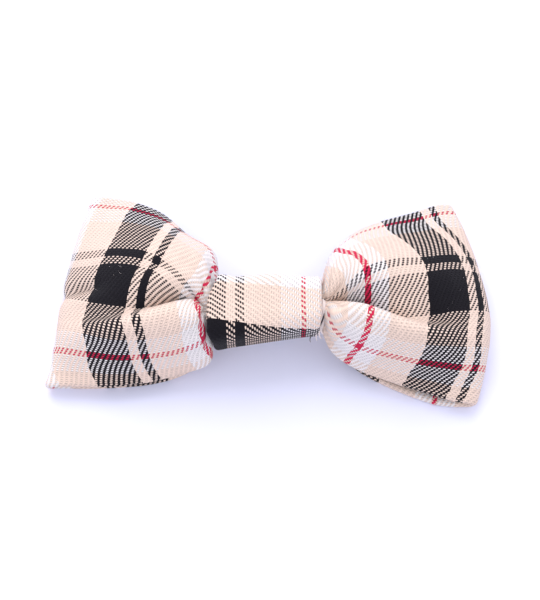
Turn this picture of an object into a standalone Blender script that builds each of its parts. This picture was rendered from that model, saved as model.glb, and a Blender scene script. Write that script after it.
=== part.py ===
"""A small cloth bow tie for a pet, lying on its back.

One flattened tube of cloth is pinched at its middle, so that its front wall
rises in two soft folds with a valley between them. A band of the same cloth
wraps the pinch, and an elastic loop behind the band takes the pet's collar.
The bow is as wide as X, its top edge is towards +Y and its front faces +Z.
"""

import math
from collections import namedtuple

import bmesh
import bpy
import numpy as np

# Driving dimensions, in metres
BOW_WIDTH = 0.1085
WING_HEIGHT = 0.0520
WING_LOFT = 0.0215
CLOTH_WALL = 0.0016
KNOT_HEIGHT = 0.0134
KNOT_DROP = 0.0007
KNOT_DEPTH = 0.0092
BAND_WIDTH = 0.0264
BAND_WALL = 0.0016
COLLAR_LOOP_WIDTH = 0.0100
COLLAR_LOOP_HEIGHT = 0.0140
COLLAR_LOOP_WALL = 0.0010
COLLAR_LOOP_RISE = 0.0034
COLLAR_GAP = 0.0044
CLEARANCE = 0.0003
TUCK_CLEARANCE = 0.0012

# The pieces stack up from the surface: collar loop, band, gathered cloth
LOOP_MIDDLE_Z = CLEARANCE + COLLAR_LOOP_WALL + COLLAR_GAP / 2
BAND_BACK_Z = LOOP_MIDDLE_Z + COLLAR_GAP / 2 + COLLAR_LOOP_WALL + CLEARANCE
KNOT_BACK_Z = BAND_BACK_Z + BAND_WALL + CLEARANCE
KNOT_MIDDLE_Z = KNOT_BACK_Z + KNOT_DEPTH / 2
BAND_EDGE = BAND_WIDTH / 2
WING_LENGTH = BOW_WIDTH / 2 - BAND_EDGE

LOBE_CELLS = 4
ROW_STEPS = 2
BAND_CELLS = 4
RING_CELLS = 20

# Shape factors: how square the band's outline is, how much narrower the knot is
# at its right end, how steep a full fold's sides are, and how sharply a wing's
# end curves in towards its corners
BAND_SQUARENESS = 3.4
KNOT_TAPER = 0.28
FOLD_STEEPNESS = 0.7
CORNER_SHARPNESS = 1.5

# A cross-section of one wing. reach and the two draws are shares of the wing's
# length beyond the band: a draw pulls the corner at that edge back towards the
# band. low, crease and high are Y from the middle of the knot, as shares of the
# wing's height. The lifts are heights above the surface, as shares of the loft.
# full is 1 for a round fold and 0 for a slack one, and lean moves its crest from
# the middle, at 1, towards the crease.
Section = namedtuple(
    "Section",
    "reach low crease high low_lift low_crest crease_lift high_crest high_lift"
    " low_draw high_draw full lean",
)

RIGHT_FRONT = [
    Section(0.07, -0.16, 0.03, 0.27, 0.40, 0.93, 0.54, 0.92, 0.55, 0.01, 0.02, 1.00, 1.15),
    Section(0.21, -0.23, 0.04, 0.385, 0.26, 0.95, 0.56, 0.98, 0.48, 0.00, 0.03, 1.00, 1.30),
    Section(0.39, -0.28, 0.02, 0.47, 0.21, 0.86, 0.61, 0.90, 0.40, 0.00, 0.02, 0.85, 1.40),
    Section(0.61, -0.33, 0.00, 0.53, 0.18, 0.72, 0.60, 0.75, 0.34, 0.01, 0.04, 0.65, 1.40),
    Section(0.81, -0.37, 0.00, 0.58, 0.17, 0.56, 0.52, 0.58, 0.28, 0.04, 0.09, 0.45, 1.40),
    Section(0.95, -0.38, 0.01, 0.59, 0.16, 0.41, 0.39, 0.42, 0.25, 0.09, 0.16, 0.35, 1.40),
]
RIGHT_FOLD = Section(1.00, -0.38, 0.02, 0.60, 0.10, 0.23, 0.21, 0.24, 0.14, 0.11, 0.19, 0.30, 1.40)
RIGHT_BACK = [
    Section(0.95, -0.38, 0.02, 0.59, 0.00, 0.00, 0.00, 0.00, 0.00, 0.09, 0.16, 0.30, 1.00),
    Section(0.70, -0.37, 0.02, 0.55, 0.00, 0.00, 0.00, 0.00, 0.00, 0.02, 0.06, 0.30, 1.00),
    Section(0.41, -0.29, 0.02, 0.47, 0.00, 0.00, 0.03, 0.00, 0.00, 0.00, 0.01, 0.50, 1.00),
    Section(0.17, -0.19, 0.01, 0.33, 0.12, 0.07, 0.22, 0.07, 0.12, 0.00, 0.01, 0.80, 1.00),
]
LEFT_FRONT = [
    Section(0.12, -0.21, 0.04, 0.30, 0.37, 0.94, 0.56, 0.92, 0.53, 0.07, 0.09, 1.00, 1.15),
    Section(0.21, -0.25, 0.04, 0.40, 0.27, 0.95, 0.58, 0.98, 0.47, 0.00, 0.02, 1.00, 1.30),
    Section(0.36, -0.28, 0.02, 0.51, 0.22, 0.88, 0.68, 0.94, 0.43, -0.01, 0.02, 0.85, 1.40),
    Section(0.57, -0.30, 0.01, 0.58, 0.19, 0.73, 0.68, 0.78, 0.37, -0.02, 0.05, 0.65, 1.40),
    Section(0.76, -0.30, 0.02, 0.61, 0.18, 0.55, 0.54, 0.59, 0.31, -0.04, 0.10, 0.45, 1.40),
    Section(0.90, -0.30, 0.03, 0.63, 0.18, 0.37, 0.37, 0.40, 0.26, -0.05, 0.14, 0.30, 1.40),
]
LEFT_FOLD = Section(0.94, -0.30, 0.03, 0.64, 0.11, 0.20, 0.20, 0.21, 0.15, -0.06, 0.15, 0.30, 1.40)
LEFT_BACK = [
    Section(0.90, -0.29, 0.03, 0.63, 0.00, 0.00, 0.00, 0.00, 0.00, -0.06, 0.14, 0.30, 1.00),
    Section(0.68, -0.29, 0.02, 0.59, 0.00, 0.00, 0.00, 0.00, 0.00, -0.03, 0.08, 0.30, 1.00),
    Section(0.39, -0.27, 0.02, 0.51, 0.00, 0.00, 0.03, 0.00, 0.00, -0.01, 0.02, 0.50, 1.00),
    Section(0.17, -0.22, 0.01, 0.36, 0.12, 0.07, 0.22, 0.07, 0.12, 0.00, 0.01, 0.80, 1.00),
]

# How one wall lies where the band squeezes it. edge is a share of the knot's
# half height, and the lifts are shares of its depth.
Pinch = namedtuple("Pinch", "edge edge_lift crest_lift crease_lift full lean")

FRONT_PINCH = Pinch(0.97, 0.50, 0.93, 0.78, 0.62, 1.00)
BACK_PINCH = Pinch(0.80, 0.16, 0.00, 0.10, 0.50, 1.00)

# Where the rows inside the band lie, from its left edge at -1 to its right at 1
PINCH_PLACES = (-1, -0.65, 0, 0.65, 1)

# How far each side edge of the band stands from its middle, as shares of half
# its width. The turn runs in degrees from the band's top over its front.
BandEdge = namedtuple("BandEdge", "turn left right")

BAND_EDGES = [
    BandEdge(0, 0.88, 0.86),
    BandEdge(50, 0.90, 0.86),
    BandEdge(90, 1.06, 0.86),
    BandEdge(130, 1.06, 0.85),
    BandEdge(175, 0.96, 0.83),
    BandEdge(270, 0.90, 0.86),
]


def lobe(edge, crease, crest_lift, full, lean, share):
    """Point on one fold, from an edge of the cloth at share 0 to the crease at share 1.

    edge and crease are (y, z) pairs.
    """
    leaning = share**lean
    soft_rise = (1 - math.cos(2 * math.pi * leaning)) / 2
    round_rise = math.sin(math.pi * leaning)
    rise = soft_rise + (round_rise - soft_rise) * full
    eased = (1 - math.cos(math.pi * share)) / 2
    along = share + (eased - share) * FOLD_STEEPNESS * full
    y = edge[0] + (crease[0] - edge[0]) * along
    z = edge[1] + (crease[1] - edge[1]) * along
    z += (crest_lift - (edge[1] + crease[1]) / 2) * rise
    return y, z


def fold_pair(low, crease, high, low_crest, high_crest, full, lean):
    """Points across a wall: the lower fold, the crease and the upper fold."""
    shares = [cell / LOBE_CELLS for cell in range(LOBE_CELLS)]
    lower = [lobe(low, crease, low_crest, full, lean, share) for share in shares]
    upper = [lobe(high, crease, high_crest, full, lean, share) for share in shares]
    return lower + [crease] + upper[::-1]


def cross_shares():
    """How near each point across a wall is to its edge: 1 at the edge, 0 at the crease."""
    count = 2 * LOBE_CELLS
    return [abs(1 - 2 * index / count) for index in range(count + 1)]


def wing_lift(share):
    return CLOTH_WALL / 2 + share * (WING_LOFT - CLOTH_WALL)


def pinch_lift(share):
    return KNOT_BACK_Z + CLOTH_WALL / 2 + share * (KNOT_DEPTH - CLOTH_WALL)


def wing_row(section, side):
    """One row of points across a wing's wall."""
    points = fold_pair(
        (section.low * WING_HEIGHT, wing_lift(section.low_lift)),
        (section.crease * WING_HEIGHT, wing_lift(section.crease_lift)),
        (section.high * WING_HEIGHT, wing_lift(section.high_lift)),
        wing_lift(section.low_crest),
        wing_lift(section.high_crest),
        section.full,
        section.lean,
    )
    row = []
    for index, ((y, z), edge_share) in enumerate(zip(points, cross_shares())):
        draw = section.low_draw if index < LOBE_CELLS else section.high_draw
        reach = BAND_EDGE + WING_LENGTH * (section.reach - draw * edge_share**CORNER_SHARPNESS)
        row.append((side * reach, y, z))
    return row


def band_reach(side, turn):
    """X of the band's side edge at a turn around the knot, in degrees."""
    turns = [edge.turn for edge in BAND_EDGES]
    shares = [edge.left if side < 0 else edge.right for edge in BAND_EDGES]
    return side * BAND_EDGE * float(np.interp(turn % 360, turns, shares, period=360))


def tapered(x, y):
    """Y of a point in the knot, which sits a little low and whose lower side rises to the right."""
    top = KNOT_HEIGHT / 2
    return top - KNOT_DROP - (top - y) * (1 - KNOT_TAPER * (x + BAND_EDGE) / BAND_WIDTH)


def pinch_row(pinch, place):
    """One row of points across a wall inside the band, at a place from -1 to 1 along it."""
    half_height = pinch.edge * (KNOT_HEIGHT - CLOTH_WALL) / 2
    points = fold_pair(
        (-half_height, pinch_lift(pinch.edge_lift)),
        (0.0, pinch_lift(pinch.crease_lift)),
        (half_height, pinch_lift(pinch.edge_lift)),
        pinch_lift(pinch.crest_lift),
        pinch_lift(pinch.crest_lift),
        pinch.full,
        pinch.lean,
    )
    row = []
    for y, z in points:
        turn = math.degrees(math.atan2(z - KNOT_MIDDLE_Z, y))
        x = abs(place) * band_reach(math.copysign(1, place), turn) + place * TUCK_CLEARANCE
        row.append((x, tapered(x, y), z))
    return row


def bow_rows():
    """Rows around the tube of cloth: front of the knot, right wing, back of the knot, left wing."""
    rows = [pinch_row(FRONT_PINCH, place) for place in PINCH_PLACES]
    rows += [wing_row(section, 1) for section in RIGHT_FRONT + [RIGHT_FOLD] + RIGHT_BACK]
    rows += [pinch_row(BACK_PINCH, place) for place in PINCH_PLACES[::-1]]
    left = [wing_row(section, -1) for section in LEFT_FRONT + [LEFT_FOLD] + LEFT_BACK]
    return np.array(rows + left[::-1])


def smooth_ring(rows, steps):
    """A closed curve through every row, with the given number of steps from row to row."""
    count = len(rows)
    strides = np.linalg.norm(np.roll(rows, -1, axis=0) - rows, axis=2).mean(axis=1)
    spans = np.sqrt(strides)
    ring = []
    for i in range(count):
        before, start, end, after = (rows[(i + offset) % count] for offset in (-1, 0, 1, 2))
        span_in, span, span_out = spans[i - 1], spans[i], spans[(i + 1) % count]
        pace_in, pace, pace_out = (start - before) / span_in, (end - start) / span, (after - end) / span_out
        leave = (pace_in * span + pace * span_in) / (span_in + span) * span
        arrive = (pace * span_out + pace_out * span) / (span + span_out) * span
        for step in range(steps):
            t = step / steps
            ring.append(
                (2 * t**3 - 3 * t**2 + 1) * start
                + (t**3 - 2 * t**2 + t) * leave
                + (3 * t**2 - 2 * t**3) * end
                + (t**3 - t**2) * arrive
            )
    return ring


def bow_surface():
    """Middle surface of the bow's cloth, flattened where it rests."""
    ring = np.array(smooth_ring(bow_rows(), ROW_STEPS))
    ring[:, :, 2] = np.maximum(ring[:, :, 2], CLOTH_WALL / 2)
    return ring


def mesh_from_ring(name, rows):
    """Open-edged mesh whose rows close on themselves, wound so that it faces outwards."""
    bm = bmesh.new()
    grid = [[bm.verts.new(point) for point in row] for row in rows]
    for i, row in enumerate(grid):
        after = grid[(i + 1) % len(grid)]
        for j in range(len(row) - 1):
            bm.faces.new((row[j], after[j], after[j + 1], row[j + 1]))
    mesh = bpy.data.meshes.new(name)
    bm.to_mesh(mesh)
    bm.free()
    mesh.shade_smooth()
    return mesh


def cloth_object(name, rows, wall, levels, material):
    """A cloth ring: its middle surface, subdivided and then given its wall."""
    piece = bpy.data.objects.new(name, mesh_from_ring(name, rows))
    piece.data.materials.append(material)
    if levels:
        subdivision = piece.modifiers.new("Soft form", "SUBSURF")
        subdivision.levels = levels
        subdivision.render_levels = levels
    solidify = piece.modifiers.new("Cloth wall", "SOLIDIFY")
    solidify.thickness = wall
    solidify.offset = 0
    return piece


def band_rows():
    """Rows around the band: a squarish ring that clears the gathered cloth."""
    half_height = KNOT_HEIGHT / 2 + CLEARANCE + BAND_WALL / 2
    half_depth = KNOT_DEPTH / 2 + CLEARANCE + BAND_WALL / 2
    power = 2 / BAND_SQUARENESS
    rows = []
    for index in range(RING_CELLS):
        turn = 360 * index / RING_CELLS
        across, up = math.cos(math.radians(turn)), math.sin(math.radians(turn))
        y = half_height * math.copysign(abs(across) ** power, across)
        z = KNOT_MIDDLE_Z + half_depth * math.copysign(abs(up) ** power, up)
        left, right = band_reach(-1, turn), band_reach(1, turn)
        rows.append([(x, tapered(x, y), z) for x in np.linspace(right, left, BAND_CELLS + 1)])
    return rows


def collar_loop_rows():
    """Rows around the collar loop: two flat runs joined by round ends."""
    radius = (COLLAR_GAP + COLLAR_LOOP_WALL) / 2
    run = (COLLAR_LOOP_HEIGHT - COLLAR_LOOP_WALL) / 2 - radius
    rows = []
    for index in range(RING_CELLS):
        turn = math.pi * (2 * index + 1) / RING_CELLS
        y = COLLAR_LOOP_RISE + math.copysign(run, math.cos(turn)) + radius * math.cos(turn)
        z = LOOP_MIDDLE_Z + radius * math.sin(turn)
        rows.append([(x, y, z) for x in (COLLAR_LOOP_WIDTH / 2, -COLLAR_LOOP_WIDTH / 2)])
    return rows


def cloth_material(name, colour, roughness):
    material = bpy.data.materials.new(name)
    material.use_nodes = True
    shader = material.node_tree.nodes["Principled BSDF"]
    shader.inputs["Base Color"].default_value = (*colour, 1.0)
    shader.inputs["Roughness"].default_value = roughness
    shader.inputs["Metallic"].default_value = 0.0
    return material


def centre_on_box(pieces, frame):
    """Moves the frame so that the middle of the whole bow lies over the origin."""
    depsgraph = bpy.context.evaluated_depsgraph_get()
    corners = []
    for piece in pieces:
        evaluated = piece.evaluated_get(depsgraph)
        corners += [evaluated.matrix_world @ vertex.co for vertex in evaluated.data.vertices]
    corners = np.array(corners)
    middle = (corners.min(axis=0) + corners.max(axis=0)) / 2
    frame.location = (-middle[0], -middle[1], -corners[:, 2].min())


def build():
    for old in list(bpy.data.objects):
        bpy.data.objects.remove(old, do_unlink=True)
    collection = bpy.data.collections.new("pet_bow_tie")
    bpy.context.scene.collection.children.link(collection)
    frame = bpy.data.objects.new("bow_frame", None)
    collection.objects.link(frame)

    bow_cloth = cloth_material("Bow cloth", (0.72, 0.62, 0.52), 0.85)
    band_cloth = cloth_material("Band cloth", (0.78, 0.68, 0.58), 0.85)
    elastic = cloth_material("Elastic", (0.80, 0.76, 0.70), 0.75)
    pieces = [
        cloth_object("bow_loop", bow_surface(), CLOTH_WALL, 1, bow_cloth),
        cloth_object("center_band", band_rows(), BAND_WALL, 1, band_cloth),
        cloth_object("collar_loop", collar_loop_rows(), COLLAR_LOOP_WALL, 0, elastic),
    ]
    for piece in pieces:
        collection.objects.link(piece)
        piece.parent = frame
    bpy.context.view_layer.update()
    centre_on_box(pieces, frame)


build()
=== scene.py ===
# %% [markdown]
# # A small tartan bow tie for a pet, lying on its back
#
# This lesson dresses a bow tie whose plain solids are already built and packed. The solids
# fix where everything is: a flattened tube of cloth folded into two wings, a band round its
# pinched middle, and an elastic loop behind that. Each of them gets a fine cloth surface
# here, woven from yarns, with rolled edges, gathers, fuzz and loose threads. We load the
# solids first and keep their box, because the finished cloth is measured against it.

# %% Load the solids
import math
from collections import namedtuple

import bpy
import numpy as np
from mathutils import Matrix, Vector, noise


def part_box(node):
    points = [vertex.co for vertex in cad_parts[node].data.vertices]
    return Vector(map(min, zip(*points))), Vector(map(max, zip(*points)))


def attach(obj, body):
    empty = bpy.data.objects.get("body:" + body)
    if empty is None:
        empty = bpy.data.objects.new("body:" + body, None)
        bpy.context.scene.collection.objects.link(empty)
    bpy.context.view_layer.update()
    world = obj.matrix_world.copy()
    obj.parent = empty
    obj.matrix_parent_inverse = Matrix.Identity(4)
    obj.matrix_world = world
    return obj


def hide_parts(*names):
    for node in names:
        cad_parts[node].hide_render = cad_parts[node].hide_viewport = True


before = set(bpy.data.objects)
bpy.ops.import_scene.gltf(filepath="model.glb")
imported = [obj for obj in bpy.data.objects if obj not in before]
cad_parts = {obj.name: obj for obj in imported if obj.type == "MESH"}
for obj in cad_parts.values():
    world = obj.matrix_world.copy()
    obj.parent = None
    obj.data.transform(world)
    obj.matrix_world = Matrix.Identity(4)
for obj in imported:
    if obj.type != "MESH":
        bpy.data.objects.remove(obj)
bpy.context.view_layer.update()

MM = 0.001

print("nodes:", sorted(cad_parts))

# %% [markdown]
# ## The camera
#
# The bow is looked at from above and a little in front, seventy degrees up, from about a
# quarter of a metre. A camera can be aimed with a Track To constraint, but a fixed view needs
# no constraint: the direction to the target is worked out once and turned into a rotation.
# The lens follows from how wide the bow is in the picture. The picture's long side has the
# sensor's full width, so a longer lens is simply more picture lengths per radian.

# %% Place the camera
VIEW_ELEVATION = math.radians(70)
VIEW_DISTANCE = 0.270
LENS = 64.9
NEAR_CLIP = 0.01
TARGET_RISE = 0.006
TARGET_UP_FROM_KNOT = 0.0054
ELASTIC_RISE = 0.0034

elastic_low, elastic_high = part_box("collar_loop")
knot_x = (elastic_low.x + elastic_high.x) / 2
knot_y = (elastic_low.y + elastic_high.y) / 2 - ELASTIC_RISE

target = Vector((knot_x, knot_y + TARGET_UP_FROM_KNOT, TARGET_RISE))
backwards = Vector((0, -math.cos(VIEW_ELEVATION), math.sin(VIEW_ELEVATION)))

camera_data = bpy.data.cameras.new("view")
camera_data.lens = LENS
camera_data.clip_start = NEAR_CLIP
camera = bpy.data.objects.new("view", camera_data)
camera.location = target + backwards * VIEW_DISTANCE
camera.rotation_euler = backwards.to_track_quat("Z", "Y").to_euler()
bpy.context.scene.collection.objects.link(camera)
bpy.context.scene.camera = camera
print("camera at", [round(x, 4) for x in camera.location])

# %% [markdown]
# ## Floor and light
#
# The bow lies on a white tabletop in a very bright room. The key light stands behind the
# bow and high up, so the top edges of the wings almost burn out and the soft shadow falls
# towards us. The sky is a faint blue, which is what turns such a shadow lilac. One big area
# lamp and an even world colour are enough; a smaller lamp would give a hard edge that a
# window doesn't. The Standard view transform keeps white as white.

# %% Lay the floor and hang the lamp
FLOOR_SIZE = 4.0
FLOOR_COLOUR = (0.78, 0.80, 0.97)
FLOOR_ROUGHNESS = 0.8
SKY_COLOUR = (0.93, 0.93, 1.0)
SKY_STRENGTH = 1.18
KEY_PLACE = Vector((-0.10, 0.36, 0.44))
KEY_SIZE = 0.46
KEY_POWER = 2.1
KEY_COLOUR = (1.0, 0.975, 0.95)

bpy.context.scene.view_settings.view_transform = "Standard"

world = bpy.data.worlds.new("bright room")
world.use_nodes = True
sky = world.node_tree.nodes["Background"]
sky.inputs["Color"].default_value = (*SKY_COLOUR, 1)
sky.inputs["Strength"].default_value = SKY_STRENGTH
bpy.context.scene.world = world

lamp_data = bpy.data.lights.new("window", "AREA")
lamp_data.size = KEY_SIZE
lamp_data.energy = KEY_POWER
lamp_data.color = KEY_COLOUR
lamp = bpy.data.objects.new("window", lamp_data)
lamp.location = KEY_PLACE
lamp.rotation_euler = (KEY_PLACE - target).to_track_quat("Z", "Y").to_euler()
bpy.context.scene.collection.objects.link(lamp)

bpy.ops.object.select_all(action="DESELECT")
bpy.ops.mesh.primitive_plane_add(size=FLOOR_SIZE)
floor = bpy.context.object
floor.name = "tabletop"
floor_finish = bpy.data.materials.new("white tabletop")
floor_finish.use_nodes = True
floor_shader = floor_finish.node_tree.nodes["Principled BSDF"]
floor_shader.inputs["Base Color"].default_value = (*FLOOR_COLOUR, 1)
floor_shader.inputs["Roughness"].default_value = FLOOR_ROUGHNESS
floor.data.materials.append(floor_finish)

# %% [markdown]
# ## The tartan's stripes
#
# A tartan is one list of stripes used twice: the same yarn colours, in the same order, run
# along the cloth and across it. Where two stripes of one colour cross there is a solid
# block, and everywhere else the two colours mix in the weave. So the whole pattern is a
# short list of widths. This is a plain shirting check: one broad dark stripe with a narrow
# companion on one side of it, and a red line in the middle of a cream stripe.

# %% Colours and stripe widths
BEIGE = (0.90, 0.71, 0.61)
CREAM = (0.91, 0.86, 0.86)
BLACK = (0.007, 0.006, 0.010)
RED = (0.66, 0.020, 0.080)

STRIPES = [
    (9.6 * MM, BEIGE),
    (11.0 * MM, BLACK),
    (2.4 * MM, BEIGE),
    (2.0 * MM, BLACK),
    (8.8 * MM, BEIGE),
    (4.4 * MM, CREAM),
    (1.4 * MM, RED),
    (4.4 * MM, CREAM),
]
REPEAT = sum(width for width, _ in STRIPES)
print("the tartan repeats every", round(REPEAT / MM, 1), "mm")

# %% [markdown]
# ## Weaving in a shader
#
# The cloth is a 2/2 twill: each yarn goes over two of the others and under two, one step
# further on in each row, which draws the diagonal ribs. It could be woven as real tubes, but
# a hand's width of cloth has hundreds of yarns each way, so the weave is worked out in the
# material instead. The nodes divide the flat cloth into yarns with floor and fraction, ask
# which of the two crossing yarns is on top, look its colour up in the stripes, and raise a
# rounded bump along it. The flat cloth coordinates are metres in the piece's own UV map,
# which we fill in ourselves when the cloth is made.

# %% Small helpers for building node trees
YARN_ACROSS = 0.305 * MM
YARN_ALONG = 0.54 * MM
FLAT_MAP = "flat_cloth"
MIX_SHARE, MIX_FIRST, MIX_SECOND, MIX_RESULT = 0, 6, 7, 2


def wire(tree, socket, value):
    """Gives a socket a number, a vector or a link."""
    if isinstance(value, bpy.types.NodeSocket):
        tree.links.new(value, socket)
    else:
        socket.default_value = value


def maths(tree, operation, *values):
    node = tree.nodes.new("ShaderNodeMath")
    node.operation = operation
    for socket, value in zip(node.inputs, values):
        wire(tree, socket, value)
    return node.outputs[0]


def mixed(tree, share, first, second, blend="MIX"):
    """Two colours mixed. The Mix node has a row of sockets for each kind of data."""
    node = tree.nodes.new("ShaderNodeMix")
    node.data_type = "RGBA"
    node.blend_type = blend
    wire(tree, node.inputs[MIX_SHARE], share)
    wire(tree, node.inputs[MIX_FIRST], first)
    wire(tree, node.inputs[MIX_SECOND], second)
    return node.outputs[MIX_RESULT]


def shaded(tree, colour, shade):
    """A colour made darker by a shade from 0 to 1."""
    grey = tree.nodes.new("ShaderNodeCombineColor")
    for channel in grey.inputs:
        tree.links.new(shade, channel)
    return mixed(tree, 1.0, colour, grey.outputs[0], blend="MULTIPLY")


def flat_position(tree):
    """The place on the flat cloth, from the piece's own map."""
    source = tree.nodes.new("ShaderNodeUVMap")
    source.uv_map = FLAT_MAP
    return source.outputs["UV"]


def cloud(tree, vector, scale, detail=2.0, colour=False):
    node = tree.nodes.new("ShaderNodeTexNoise")
    wire(tree, node.inputs["Vector"], vector)
    node.inputs["Scale"].default_value = scale
    node.inputs["Detail"].default_value = detail
    return node.outputs["Color" if colour else "Fac"]


def plain_finish(name, roughness, sheen):
    """A new matt material, with its node tree and its shader."""
    material = bpy.data.materials.new(name)
    material.use_nodes = True
    shader = material.node_tree.nodes["Principled BSDF"]
    shader.inputs["Roughness"].default_value = roughness
    shader.inputs["Sheen Weight"].default_value = sheen
    return material, material.node_tree, shader


def raise_relief(tree, shader, height, relief, strength=1.0):
    """Bumps the surface: a height of 1 stands out by the relief, in metres."""
    bump = tree.nodes.new("ShaderNodeBump")
    bump.inputs["Distance"].default_value = relief
    bump.inputs["Strength"].default_value = strength
    wire(tree, bump.inputs["Height"], height)
    wire(tree, shader.inputs["Normal"], bump.outputs["Normal"])


# %% [markdown]
# ## Which yarn is on top
#
# Number the yarns that stand upright on the wings i, and those that lie across them j. In a
# 2/2 twill the upright yarn is over where (i - j) modulo 4 is 0 or 1, so its height follows a
# wave four yarns long, which is one step further on in the next yarn. The lying yarns follow
# the opposite wave. A round profile across each yarn is added, and whichever of the two is
# higher at a point is the one that shows there. The upright yarns are packed side by side
# and stand a little proud. The lying yarns are thinner than the room that they have, so they
# show between the others as rows of short ovals, and a dark stripe looks darker one way than
# the other.

# %% The twill's nodes
DYE_SPREAD = 0.08
WHOLE_REPEATS = 100


def stripe_lookup(tree, yarn, width, start):
    """Colour of a yarn, by where its middle lies in the repeat of stripes."""
    middle = maths(tree, "MULTIPLY", maths(tree, "ADD", yarn, 0.5), width / REPEAT)
    share = maths(tree, "FRACT", maths(tree, "ADD", middle, start / REPEAT + WHOLE_REPEATS))
    ramp = tree.nodes.new("ShaderNodeValToRGB")
    ramp.color_ramp.interpolation = "CONSTANT"
    stops = ramp.color_ramp.elements
    place = 0.0
    for index, (stripe, colour) in enumerate(STRIPES):
        stop = stops[0] if index == 0 else stops[1] if index == 1 else stops.new(place)
        stop.position = place
        stop.color = (*colour, 1)
        place += stripe / REPEAT
    tree.links.new(share, ramp.inputs["Fac"])
    return ramp.outputs["Color"]


def uneven(tree, colour, yarn, spread):
    """No two yarns take the dye alike: lightens and darkens each one a little."""
    dye = tree.nodes.new("ShaderNodeTexWhiteNoise")
    dye.noise_dimensions = "1D"
    tree.links.new(yarn, dye.inputs["W"])
    shade = maths(tree, "MULTIPLY_ADD", dye.outputs["Value"], spread, 1 - spread)
    return shaded(tree, colour, shade)


YARN_WANDER = 0.6
WANDER_SCALE = 300.0
ROUND_SHARE = 0.55
WAVE_SHARE = 0.45
UPRIGHT_LEAD = 0.12
LYING_FILL = 0.62
ROUNDNESS = 2.4


def yarn_height(tree, place, wave, fill, lead):
    """Height of one yarn, which fills a share of its room: round across, waving along."""
    off_middle = maths(tree, "ABSOLUTE", maths(tree, "MULTIPLY_ADD", place, 2 / fill, -1 / fill))
    fallen = maths(tree, "POWER", off_middle, ROUNDNESS)
    profile = maths(tree, "MULTIPLY_ADD", fallen, -ROUND_SHARE, ROUND_SHARE + lead)
    return maths(tree, "MULTIPLY_ADD", wave, WAVE_SHARE, profile)


def twill(tree, start_across, start_along):
    """Colour and height of the woven cloth, as two sockets."""
    flat = flat_position(tree)
    wander = tree.nodes.new("ShaderNodeVectorMath")
    wander.operation = "MULTIPLY_ADD"
    tree.links.new(cloud(tree, flat, WANDER_SCALE, colour=True), wander.inputs[0])
    wander.inputs[1].default_value = (YARN_ACROSS * YARN_WANDER, YARN_ALONG * YARN_WANDER, 0)
    tree.links.new(flat, wander.inputs[2])
    parts = tree.nodes.new("ShaderNodeSeparateXYZ")
    tree.links.new(wander.outputs[0], parts.inputs[0])

    across = maths(tree, "DIVIDE", parts.outputs["X"], YARN_ACROSS)
    along = maths(tree, "DIVIDE", parts.outputs["Y"], YARN_ALONG)
    upright, lying = maths(tree, "FLOOR", across), maths(tree, "FLOOR", along)
    in_upright, in_lying = maths(tree, "FRACT", across), maths(tree, "FRACT", along)

    quarter = math.pi / 2
    upright_turn = maths(tree, "MULTIPLY", maths(tree, "SUBTRACT", upright, along), quarter)
    lying_turn = maths(tree, "MULTIPLY", maths(tree, "SUBTRACT", lying, across), quarter)
    upright_wave = maths(tree, "COSINE", upright_turn)
    lying_wave = maths(tree, "SINE", lying_turn)
    upright_height = yarn_height(tree, in_upright, upright_wave, 1.0, UPRIGHT_LEAD)
    lying_height = yarn_height(tree, in_lying, lying_wave, LYING_FILL, 0.0)
    lying_on_top = maths(tree, "GREATER_THAN", lying_height, upright_height)
    height = maths(tree, "MAXIMUM", lying_height, upright_height)

    upright_colour = stripe_lookup(tree, upright, YARN_ACROSS, start_across)
    lying_colour = stripe_lookup(tree, lying, YARN_ALONG, start_along)
    colour = mixed(
        tree,
        lying_on_top,
        uneven(tree, upright_colour, upright, DYE_SPREAD),
        uneven(tree, lying_colour, lying, DYE_SPREAD),
    )
    return colour, height


# %% [markdown]
# ## The brushed twill's finish
#
# Brushed cotton is matt, with a nap of short fibres that catch light at grazing angles: the
# Sheen of the Principled shader does that. The gaps between yarns get painted shade: the
# colour is darker there than on the yarns' tops. A fine mottle breaks up each colour, as the
# nap does. The bump is as high as a yarn is thick.

# %% The cloth material
PAINTED_GAP_SHADE = 0.52
GAP_SOFTNESS = 0.7
MOTTLE_SCALE = 3200.0
MOTTLE_DETAIL = 3.0
MOTTLE_DARK, MOTTLE_SPREAD = 0.86, 0.30
YARN_RELIEF = 0.20 * MM
RELIEF_STRENGTH = 0.8
NAP_RELIEF = 0.5
TWILL_ROUGHNESS, TWILL_SPECULAR = 0.88, 0.15
TWILL_SHEEN, TWILL_SHEEN_ROUGHNESS = 0.07, 0.45


def brushed_twill(name, start_across, start_along):
    material, tree, shader = plain_finish(name, TWILL_ROUGHNESS, TWILL_SHEEN)
    shader.inputs["Specular IOR Level"].default_value = TWILL_SPECULAR
    shader.inputs["Sheen Roughness"].default_value = TWILL_SHEEN_ROUGHNESS
    colour, height = twill(tree, start_across, start_along)

    mottle = cloud(tree, flat_position(tree), MOTTLE_SCALE, detail=MOTTLE_DETAIL)
    # painted shade: the colour is darkened where a yarn dips low into the gaps between yarns, and
    # the mottle on top is the nap's own tone
    clear = maths(tree, "POWER", maths(tree, "MAXIMUM", height, 0.0), GAP_SOFTNESS)
    painted_shade_and_mottle = maths(tree, "MULTIPLY_ADD", clear, 1 - PAINTED_GAP_SHADE, PAINTED_GAP_SHADE)
    speckle = maths(tree, "MULTIPLY_ADD", mottle, MOTTLE_SPREAD, MOTTLE_DARK)
    painted_shade_and_mottle = maths(tree, "MULTIPLY", painted_shade_and_mottle, speckle)
    wire(tree, shader.inputs["Base Color"], shaded(tree, colour, painted_shade_and_mottle))

    napped = maths(tree, "MULTIPLY_ADD", mottle, NAP_RELIEF, height)
    raise_relief(tree, shader, napped, YARN_RELIEF, RELIEF_STRENGTH)
    return material


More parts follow.
